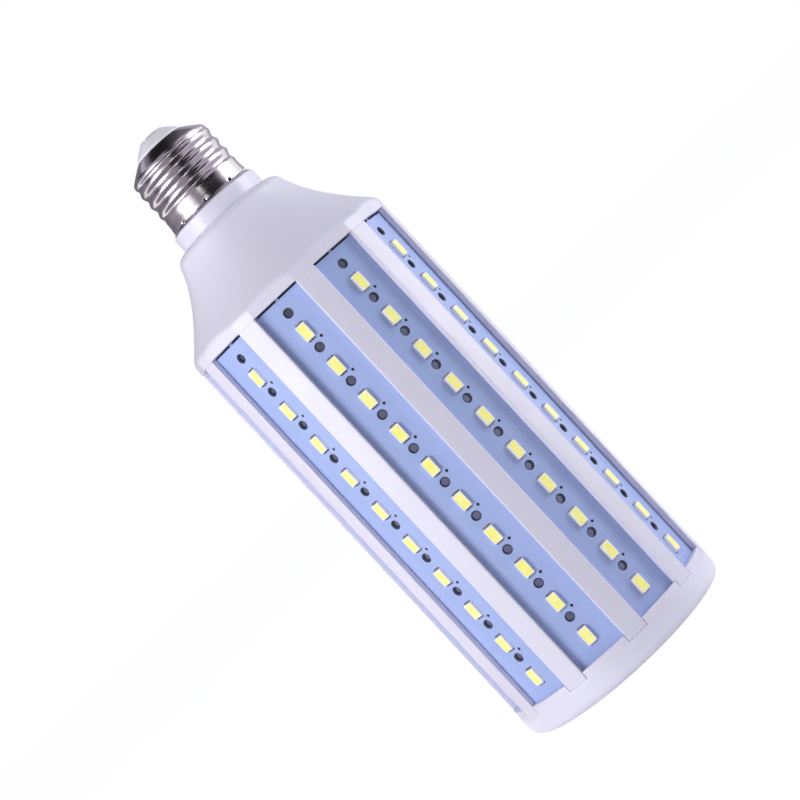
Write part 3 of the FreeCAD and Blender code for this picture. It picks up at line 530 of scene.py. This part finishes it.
# %% The board's bare metal
# The walls and countersinks of the vent holes are painted dark navy: painted shade for the dark inside the
# holes.
vent_wall_painted_shade = grain_finish("vent wall painted shade", (0.075, 0.085, 0.13), (0.05, 0.06, 0.095), (0.35, 0.5),
                        cloud=400.0, grain=4000.0, relief=0.003)
bare_metal = grain_finish("bare aluminium", (0.90, 0.91, 0.93), (0.84, 0.85, 0.88), (0.45, 0.6),
                          cloud=90.0, grain=4000.0, relief=0.002, Metallic=1.0,
                          Emission_Color=(0.75, 0.80, 1.0, 1.0), Emission_Strength=0.11)
print("board finishes:", strip_lacquer.name, vent_wall_painted_shade.name, bare_metal.name, sep=", ")

# %% [markdown]
# A Boolean would cut the vent holes but leaves long thin faces. Each hole gets a patch of its own instead:
# rays from the hole's centre run from the circle to the patch's edge, so the patch is a function of the
# ray's angle and of a row number. Neighbouring patches share their edge points and are merged. Where a
# patch ends at the edge of the board, it also gets its part of the board's outer wall.

# %% One patch for each vent
VENT_RADIUS, VENT_RISE, SAME = 1.02, 6.6, 1e-6
vents = LED_LOW + VENT_RISE + LED_PITCH * np.arange(LED_COUNT)
cell_edges = np.concatenate([[BOARD_LOW], vents[:-1] + LED_PITCH / 2, [BOARD_TOP]])
to_corners = np.arctan2([LED_PITCH / 2, vents[0] - BOARD_LOW, BOARD_TOP - vents[-1]], BOARD_HALF)
to_corners = np.concatenate([to_corners, math.pi - to_corners])
rays = np.sort(np.concatenate([np.radians(np.arange(0, 360, 10.0)) - math.pi, to_corners, -to_corners]))
rays = rays[np.concatenate([[True], np.diff(rays) > SAME])]
ray_cos, ray_sin, ray_count = np.cos(rays), np.sin(rays), len(rays)
room_up, room_down = (cell_edges[1:] - vents)[:, None], (vents - cell_edges[:-1])[:, None]
with np.errstate(divide="ignore"):
    to_end = np.where(ray_sin > 0, room_up, room_down) / np.abs(ray_sin)
    reach = np.minimum(BOARD_HALF / np.abs(ray_cos), to_end)
print("patch:", ray_count, "rays round each of", len(vents), "vents")

# %% Rows and walls of the patches
board_rows = [(reach, BOARD_BACK), (VENT_RADIUS, BOARD_BACK), (VENT_RADIUS, BOARD_FACE - 0.35),
              (VENT_RADIUS + 0.32, BOARD_FACE - 0.08), (VENT_RADIUS + 0.4, BOARD_FACE), (reach, BOARD_FACE)]
# Finish of each row: the bare back, then the vent wall and countersink in the painted shade, then the
# lacquer.
ROW_FINISH = np.array([2, 1, 1, 1, 0])
distance = np.stack([np.broadcast_to(row[0], reach.shape) for row in board_rows], 1)
board_out = np.array([row[1] for row in board_rows])[:, None]
board_across = distance * ray_cos
board_along = vents[:, None, None] + distance * ray_sin
patch_quads = quads(len(board_rows), ray_count, close_columns=True)
ray, next_ray = np.arange(ray_count), (np.arange(ray_count) + 1) % ray_count
face_row = (len(board_rows) - 1) * ray_count
wall_quads = np.column_stack([ray, next_ray, next_ray + face_row, ray + face_row])
at_edge = [np.abs(place) < SAME for place in (np.abs(board_across[:, 0]) - BOARD_HALF,
                                              board_along[:, 0] - BOARD_LOW, board_along[:, 0] - BOARD_TOP)]
on_wall = np.any([edge & np.roll(edge, -1, 1) for edge in at_edge], axis=0)
board_uv = np.stack([board_across / BOARD_WIDTH + 0.5, (board_along - BOARD_LOW) / BOARD_LENGTH], -1)
print("wall faces of a board:", int(on_wall.sum()))

# %% The drilled boards
patch_faces = [np.concatenate([patch_quads, wall_quads[on_wall[cell]]]) for cell in range(LED_COUNT)]
patch_finish = [np.concatenate([np.repeat(ROW_FINISH, ray_count), np.zeros(on_wall[cell].sum(), int)])
                for cell in range(LED_COUNT)]
for side in range(SIDES):
    points = on_side(side, board_across, board_out, board_along)
    make_piece(f"strip_board_{side + 1:02d}", list(zip(points, patch_faces, patch_finish)),
               [strip_lacquer, vent_wall_painted_shade, bare_metal], [f"strip_{side + 1:02d}"], crease=30.0,
               uv=board_uv.reshape(-1, 2))

# %% [markdown]
# ## The LED packages
#
# Each package is a white tub with a yellow phosphor gel inside and a metal tab at each end. It is repeated
# more than a hundred times, so it has few faces: rounded rectangles stacked as rings, wide at the foot,
# turned in over the lip, and closed by the flat gel. A faint glow in the white and in the gel stands for
# the light that soaks through both, which a shader for solid plastic leaves out.

# %% Finishes of a package
package_white = grain_finish("package white", (0.96, 0.95, 0.94), (0.92, 0.91, 0.90), (0.35, 0.5),
                             cloud=500.0, grain=6000.0, relief=0.002,
                             Emission_Color=(1.0, 0.97, 0.86, 1.0), Emission_Strength=0.12)
phosphor_gel = grain_finish("phosphor gel", (0.98, 0.96, 0.40), (0.95, 0.87, 0.15), (0.25, 0.4),
                            cloud=420.0, grain=5000.0, relief=0.002,
                            Emission_Color=(1.0, 0.96, 0.32, 1.0), Emission_Strength=0.2)
tinned_tab = grain_finish("tinned tab", (0.58, 0.56, 0.57), (0.40, 0.38, 0.39), (0.28, 0.42),
                          cloud=900.0, grain=6000.0, relief=0.002, Metallic=1.0)
led_finishes = [package_white, phosphor_gel, tinned_tab]
print("package finishes:", [finish.name for finish in led_finishes])

# %% One package
RING_POINTS, TAB_HALF = 12, 1.05


def rounded_ring(half_long, half_wide, round_off):
    """Twelve points of a rounded rectangle: each corner's centre plus r cos a, r sin a."""
    corner = np.arange(RING_POINTS) // 3
    turn = np.radians(corner * 90 + np.tile([8, 45, 82], 4))
    centre_long = np.where((corner == 0) | (corner == 3), 1, -1) * (half_long - round_off)
    centre_wide = np.where(corner < 2, 1, -1) * (half_wide - round_off)
    return np.column_stack([centre_long + round_off * np.cos(turn), centre_wide + round_off * np.sin(turn)])


package_rings = [(0.0, 0.0, 0.0, 0.0), (2.42, 1.46, 0.12, 0.0), (2.42, 1.46, 0.12, 0.6),
                 (2.38, 1.43, 0.12, 0.86), (2.33, 1.39, 0.12, 0.90), (2.10, 1.20, 0.2, 0.90),
                 (2.08, 1.18, 0.2, 0.86), (0.0, 0.0, 0.0, 0.86)]
ring_points = np.stack([rounded_ring(*ring[:3]) for ring in package_rings])
ring_height = np.array([ring[3] for ring in package_rings])[:, None, None]
package_quads = quads(len(package_rings), RING_POINTS, close_columns=True)
package_finish = np.repeat([0, 0, 0, 0, 0, 0, 1], RING_POINTS)
tab_profile = np.array([(2.40, 0.0), (2.95, 0.0), (2.95, 0.06), (2.84, 0.25), (2.64, 0.42), (2.40, 0.5)])


def led_sheets(centres, along, across, up):
    """Packages at their centres, given the directions of their length, width and height."""
    sheets = []
    for centre, a, b, c in zip(centres, along, across, up):
        body = centre + ring_points[..., :1] * a + ring_points[..., 1:] * b + ring_height * c
        sheets.append((body, package_quads, package_finish))
        for end in (1, -1):
            tab = centre + end * tab_profile[:, :1] * a + tab_profile[:, 1:] * c
            sheets += closed_bar(np.stack([tab - TAB_HALF * b, tab + TAB_HALF * b]), 2)
    return sheets


print("package:", len(package_quads), "faces and two tabs")

# %% The LED rows
led_heights = LED_LOW + LED_PITCH * np.arange(LED_COUNT)
each_led = np.ones((LED_COUNT, 1))
for side in range(SIDES):
    sheets = led_sheets(on_side(side, 0.0, BOARD_FACE, led_heights), each_led * [0, 0, 1.0],
                        each_led * on_side(side, 1.0, 0.0, 0.0), each_led * on_side(side, 0.0, 1.0, 0.0))
    make_piece(f"led_row_{side + 1:02d}", sheets, led_finishes, [f"strip_leds_{side + 1:02d}"],
               crease=28.0)

# %% [markdown]
# The end board carries the same packages, in an outer and an inner ring, facing down.

# %% LEDs of the end board
OUTER_COUNT, OUTER_RING, INNER_COUNT, INNER_RING = 7, 19.0, 3, 8.0
led_turn = np.concatenate([np.arange(count) * 2 * math.pi / count for count in (OUTER_COUNT, INNER_COUNT)])
led_radius = np.repeat([OUTER_RING, INNER_RING], [OUTER_COUNT, INNER_COUNT])
no_rise = np.zeros(len(led_turn))
tangent = np.column_stack([np.cos(led_turn), np.sin(led_turn), no_rise])
inward = np.column_stack([-np.sin(led_turn), np.cos(led_turn), no_rise])
downward = np.tile([0, 0, -1.0], (len(led_turn), 1))
make_piece("end_board_leds", led_sheets(around(led_radius, END_FACE, led_turn), tangent, inward, downward),
           led_finishes, ["end_disc_leds"], crease=28.0)

# %% [markdown]
# ## The screw shell
#
# The shell is thin nickel-plated sheet, rolled so that its thread is a smooth wave. Sweeping a profile along
# a helix leaves seams at both ends. On a grid of height and angle the thread is simply a cosine of height
# over pitch minus angle over a full turn, faded out at both ends. The collar below it opens into a small
# lip on the neck ring. The crimp marks near that lip are small dents, taken off the radius where a bell
# curve of the distance to the nearest mark says so. Heights here are measured from the shell's lower edge.

# %% The rolled sheet
PITCH, BARREL, THREAD_SWING, THREAD_SINK = 3.629, 13.0, 0.29, 0.09
MARK_STEP, MARK_TURN = math.radians(40), math.radians(5.3)
MARK_RISE, MARK_DEEP, MARK_WIDE, PIT_SHADE_WIDE = 1.25, 0.4, 0.42, 0.36
shell_angle = np.radians(np.arange(0, 360, 1.0))
rise = np.concatenate([np.linspace(0.5, 2.6, 22), np.linspace(2.8, 5.2, 10), np.linspace(5.4, 17.5, 66)])
rise = rise[:, None]
wave = np.cos(2 * math.pi * ((rise - 8.0) / PITCH - shell_angle / (2 * math.pi)))
in_thread = ramp(rise, 4.6, 6.6) * (1 - ramp(rise, 16.2, 17.6))
collar = 0.3 * (1 - ramp(rise, 1.0, 4.0)) + 0.7 * (1 - ramp(rise, 0.2, 1.1))
mark_off = (shell_angle - MARK_TURN + MARK_STEP / 2) % MARK_STEP - MARK_STEP / 2
from_mark = np.hypot(mark_off * BARREL, rise - MARK_RISE)
barrel = BARREL + in_thread * (THREAD_SWING * wave - THREAD_SINK) + collar
barrel = barrel - MARK_DEEP * np.exp(-(from_mark / MARK_WIDE) ** 4)
print("thread crest at", round(float(barrel[in_thread[:, 0] == 1].max()), 2), "mm")

# %% The shell as one sheet
nickel = grain_finish("plated nickel", (0.86, 0.82, 0.85), (0.66, 0.62, 0.65), (0.17, 0.25),
                      cloud=70.0, grain=260.0, relief=0.009, along=9.0, Metallic=1.0)
# The middle of each crimp mark gets a near-black finish: painted shade, for the dark of a deep pit.
pit_painted_shade = grain_finish("crimp pit painted shade", (0.03, 0.025, 0.035), (0.02, 0.018, 0.025), (0.3, 0.5),
                         cloud=160.0, grain=1800.0, relief=0.001, Metallic=1.0)
SHELL_RISE = SHELL_TOP - SHELL_LOW
lip = np.array([(12.62, 0.06), (12.78, 0.02), (13.5, 0.02), (13.75, 0.14), (13.9, 0.34)])
taper = eased([(12.95, 17.65), (12.75, 18.3), (10.5, 20.05), (7.9, SHELL_RISE), (7.3, SHELL_RISE)],
              [0, 0.5, 1.0, 0.15, 0], 6)
inside = np.array([(7.3, 20.6), (11.3, 18.4), (12.2, 17.2), (12.2, 1.0)])
all_round = np.ones_like(shell_angle)
shell_skin = around(
    np.concatenate([lip[:, :1] * all_round, barrel, taper[:, :1] * all_round, inside[:, :1] * all_round]),
    SHELL_LOW + np.concatenate([lip[:, 1:], rise, taper[:, 1:], inside[:, 1:]]), shell_angle)
shell_finish = np.zeros(shell_skin.shape[:2], int)
# Faces near the middle of a mark take the painted shade.
shell_finish[len(lip):len(lip) + len(rise)][from_mark < PIT_SHADE_WIDE] = 1
shell_quads = quads(len(shell_skin), len(shell_angle), True, True)
make_piece("threaded_shell", [(shell_skin, shell_quads, shell_finish.ravel())], [nickel, pit_painted_shade],
           ["screw_shell"], crease=60.0)

# %% [markdown]
# A pale cone closes the shell and carries the centre contact, a flat button with an eased edge. Both are
# turned paths that start and end on the axis, where their points merge into one.

# %% The insulator and the contact
pale_insulator = grain_finish("pale insulator", (0.97, 0.95, 1.0), (0.94, 0.92, 1.0), (0.35, 0.45),
                              cloud=120.0, grain=3000.0, relief=0.0005)
contact_metal = grain_finish("contact metal", (0.80, 0.78, 0.84), (0.70, 0.68, 0.74), (0.45, 0.6),
                             cloud=300.0, grain=3500.0, relief=0.001, Metallic=0.35)
INSULATOR_TOP, CONTACT_TOP = (solid_box(node)[1][2] for node in ("contact_insulator", "centre_contact"))
turn_angle = np.radians(np.arange(0, 360, 4.0))
cone = eased([(0, SHELL_TOP), (7.85, SHELL_TOP), (7.7, SHELL_TOP + 0.5), (4.4, INSULATOR_TOP),
              (0, INSULATOR_TOP)], [0, 0.1, 0.3, 0.8, 0], 6)
button = eased([(0, INSULATOR_TOP), (4.0, INSULATOR_TOP), (3.9, CONTACT_TOP - 0.05), (0, CONTACT_TOP)],
               [0, 0.05, 0.2, 0], 6)
for name, path, finish, node, slot in (
        ("insulator_cone", cone, pale_insulator, "contact_insulator", "insulator"),
        ("contact_button", button, contact_metal, "centre_contact", "contact")):
    sheet = around(path[:, :1], path[:, 1:], turn_angle)
    path_quads = quads(len(path), len(turn_angle), close_columns=True)
    make_piece(name, [(sheet, path_quads, 0)], [finish], [node])

# %% [markdown]
# ## Pieces that keep their solids
#
# The end board, the driver and its leads have the right shape already. They get finishes of their own, built
# from the same cloudy grain, because light reaches some of them through the vent holes.

# %% Finishes for the inner pieces
inner_finishes = {
    "end_disc": ("end board lacquer", *LACQUER, 0.0),
    "driver_board": ("green laminate", (0.05, 0.24, 0.12), (0.035, 0.19, 0.09), (0.3, 0.45), 0.0),
    "bulk_capacitor": ("capacitor sleeve", (0.025, 0.03, 0.07), (0.018, 0.02, 0.05), (0.2, 0.3), 0.0),
    "choke": ("choke sleeve", (0.03, 0.03, 0.03), (0.02, 0.02, 0.02), (0.4, 0.6), 0.0),
    "fuse_resistor": ("resistor coat", (0.09, 0.30, 0.22), (0.07, 0.24, 0.18), (0.3, 0.4), 0.0),
    "film_capacitor": ("film capacitor dip", (0.42, 0.05, 0.035), (0.33, 0.035, 0.025), (0.2, 0.3), 0.0),
    "bridge_rectifier": ("chip resin", (0.022, 0.022, 0.023), (0.016, 0.016, 0.017), (0.45, 0.6), 0.0),
    "live_lead": ("red sleeve", (0.50, 0.03, 0.025), (0.42, 0.02, 0.02), (0.35, 0.45), 0.0),
    "neutral_lead": ("black sleeve", (0.02, 0.02, 0.022), (0.014, 0.014, 0.016), (0.35, 0.45), 0.0),
    "strip_links": ("tinned link", (0.62, 0.62, 0.63), (0.52, 0.52, 0.53), (0.25, 0.4), 1.0),
}
same_finish = {"driver_chip": "bridge_rectifier", "feed_leads": "live_lead", "end_board_leads": "live_lead"}
made = {}
for node, (label, pale, deep, gloss_range, metal) in inner_finishes.items():
    made[node] = grain_finish(label, pale, deep, gloss_range, cloud=120.0, grain=2500.0, relief=0.004,
                              Metallic=metal)
for node in [*inner_finishes, *same_finish]:
    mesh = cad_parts[node].data
    mesh.materials.clear()
    mesh.materials.append(made[same_finish.get(node, node)])
print("inner finishes:", len(made))

# %% [markdown]
# ## Floor and light
#
# The photograph has a white ground and two tall, narrow soft lights, one on each side of the camera. The
# floor and the world look white to the camera and in reflections, while their real light on the bulb stays
# plain. Light Path tells the rays apart, and the floor keeps some of its shading so that the shadow shows.


# %% The floor
def seen_directly(tree):
    """1 for rays of the camera, of reflections and of transmission, and 0 for those that carry light."""
    path = add_node(tree, "ShaderNodeLightPath").outputs
    mirrored = maths(tree, "MAXIMUM", path["Is Camera Ray"], path["Is Glossy Ray"])
    return maths(tree, "MAXIMUM", mirrored, path["Is Transmission Ray"])


FLOOR_REACH, FLOOR_PAINT, SEEN_LESS_PAINT, SEEN_GLOW = 4.0, 0.9, 0.62, 0.92
floor_corners = np.array([(-1, -1, 0), (1, -1, 0), (1, 1, 0), (-1, 1, 0)]) * FLOOR_REACH
floor_mesh = bpy.data.meshes.new("floor")
floor_mesh.from_pydata(floor_corners.tolist(), [], [(0, 1, 2, 3)])
floor = bpy.data.objects.new("floor", floor_mesh)
bpy.context.scene.collection.objects.link(floor)
ground = bpy.data.materials.new("pale ground")
ground.use_nodes = True
tree = ground.node_tree
tree.nodes.clear()
seen = seen_directly(tree)
paint_grey = maths(tree, "SUBTRACT", FLOOR_PAINT, maths(tree, "MULTIPLY", seen, SEEN_LESS_PAINT))
paint = add_node(tree, "ShaderNodeBsdfDiffuse", {"Color": paint_grey})
glow_strength = maths(tree, "MULTIPLY", seen, SEEN_GLOW)
glow = add_node(tree, "ShaderNodeEmission", {"Color": WHITE, "Strength": glow_strength})
blend = add_node(tree, "ShaderNodeAddShader", {0: paint.outputs["BSDF"], 1: glow.outputs["Emission"]})
add_node(tree, "ShaderNodeOutputMaterial", {"Surface": blend.outputs["Shader"]})
floor_mesh.materials.append(ground)
print("floor:", 2 * FLOOR_REACH, "m square")

# %% The world
FILL_TINT, FILL_STRENGTH = (0.92, 0.94, 1.0, 1.0), 0.24
world = bpy.data.worlds.new("studio")
bpy.context.scene.world = world
world.use_nodes = True
tree = world.node_tree
tree.nodes.clear()
fill = add_node(tree, "ShaderNodeBackground", {"Color": FILL_TINT, "Strength": FILL_STRENGTH})
white = add_node(tree, "ShaderNodeBackground", {"Color": WHITE, "Strength": 1.0})
blend = add_node(tree, "ShaderNodeMixShader",
                 {0: seen_directly(tree), 1: fill.outputs["Background"], 2: white.outputs["Background"]})
add_node(tree, "ShaderNodeOutputWorld", {"Surface": blend.outputs["Shader"]})
bpy.context.scene.view_settings.view_transform = "Standard"
print("world fill:", FILL_STRENGTH)

# %% Two soft lights
LAMP_AWAY, LAMP_HEIGHT, LAMP_TALL = 0.85, 0.35, 0.66
UP = np.array([0, 0, 1.0])


def from_camera(azimuth):
    """An angle round the bulb, in degrees from the camera's side, as an angle from the first strip's side."""
    return np.radians(azimuth) + math.atan2(CAMERA_PLACE[0], -CAMERA_PLACE[1])


for name, azimuth, wide, power, color in (("left softbox", -54, 0.36, 5.6, (0.975, 0.97, 1.0)),
                                          ("right softbox", 90, 0.42, 5.4, (0.94, 0.95, 1.0))):
    lamp = bpy.data.lights.new(name, "AREA")
    lamp.color, lamp.energy = color, power
    lamp.shape, lamp.size, lamp.size_y = "RECTANGLE", wide, LAMP_TALL
    lamp_object = bpy.data.objects.new(name, lamp)
    bpy.context.scene.collection.objects.link(lamp_object)
    outward = around(1.0, 0.0, from_camera(azimuth))
    pose = np.eye(4)
    pose[:3, :3] = np.column_stack([np.cross(UP, outward), UP, outward])
    pose[:3, 3] = outward * LAMP_AWAY + UP * LAMP_HEIGHT
    lamp_object.matrix_world = Matrix(pose.tolist())
    print(name, "at", np.round(pose[:3, 3], 2).tolist(), "m")

# %% [markdown]
# A plated shell shows what stands round it. The photograph's shell has dark and grey bands, so cards of
# those greys stand upright round the bulb, hang over it and lie on the floor. They could be painted into the
# world, but cards at a real distance move over the thread as a studio does. Only reflections see them.


# %% Cards for reflections
def add_card(name, corners, shade):
    """A card for reflections only: a grid of corners and the grey that it shows."""
    material = bpy.data.materials.new(name)
    material.use_nodes = True
    tree = material.node_tree
    tree.nodes.clear()
    grey = (shade, shade * 0.9, shade * 1.1, 1.0)
    glow = add_node(tree, "ShaderNodeEmission", {"Color": grey, "Strength": 1.0})
    add_node(tree, "ShaderNodeOutputMaterial", {"Surface": glow.outputs["Emission"]})
    mesh = bpy.data.meshes.new(name)
    mesh.from_pydata(corners.reshape(-1, 3).tolist(), [], quads(*corners.shape[:2]).tolist())
    mesh.materials.append(material)
    card = bpy.data.objects.new(name, mesh)
    bpy.context.scene.collection.objects.link(card)
    card.visible_camera = card.visible_diffuse = card.visible_shadow = card.visible_transmission = False


CARD_AWAY, CEILING, TABLE_LIFT, TABLE_NEAR, TABLE_FAR = 1.0, 0.85, 0.003, 0.045, 0.6
GREYS_FROM, GREY_WIDE = 52, 6
upright_cards = [("card_back", -178, -124, 0.01, 1.0, 0.2), ("card_side", -124, -80, 0.2, 1.0, 0.3),
                 ("card_left", -26, -4, 0.01, 0.9, 0.25), ("card_front", 5, GREYS_FROM, 0.01, 1.5, 0.005),
                 ("card_back_right", 140, 178, 0.01, 1.0, 0.45)]
for i, shade in enumerate((0.06, 0.2, 0.5)):
    first = GREYS_FROM + GREY_WIDE * i
    upright_cards.append((f"card_right_{i}", first, first + GREY_WIDE, 0.01, 1.5, shade))
for name, first, last, low, high, shade in upright_cards:
    add_card(name, around(CARD_AWAY, [[low], [high]], from_camera(np.linspace(first, last, 5))), shade)
print("upright cards:", len(upright_cards))

# %% Cards above and below
ceiling_rows = [
    ("card_above_back", (-0.12, 1.6), (-1.6, -0.42, -0.33, -0.24, 0.06, 0.15, 0.33, 1.6),
     (0.06, 0.6, 0.2, 0.01, 0.05, 0.15, 0.45)),
    ("card_above_front", (-1.6, -0.12), (-1.6, -0.35, 0.06, 0.45, 1.6), (0.5, 0.3, 0.01, 0.5))]
for name, depths, edges, shades in ceiling_rows:
    for i, shade in enumerate(shades):
        x, y = np.meshgrid(edges[i:i + 2], depths)
        add_card(f"{name}_{i}", np.stack([x, y, np.full_like(x, CEILING)], -1), shade)
table_cards = [("card_table", -12, 32, 0.02), ("card_table_left", -120, -12, 0.22),
               ("card_table_right", 32, 120, 0.5)]
for name, first, last, shade in table_cards:
    azimuths = from_camera(np.linspace(first, last, 9))
    add_card(name, around([[TABLE_NEAR], [TABLE_FAR]], TABLE_LIFT, azimuths), shade)
print("cards on the floor:", len(table_cards))
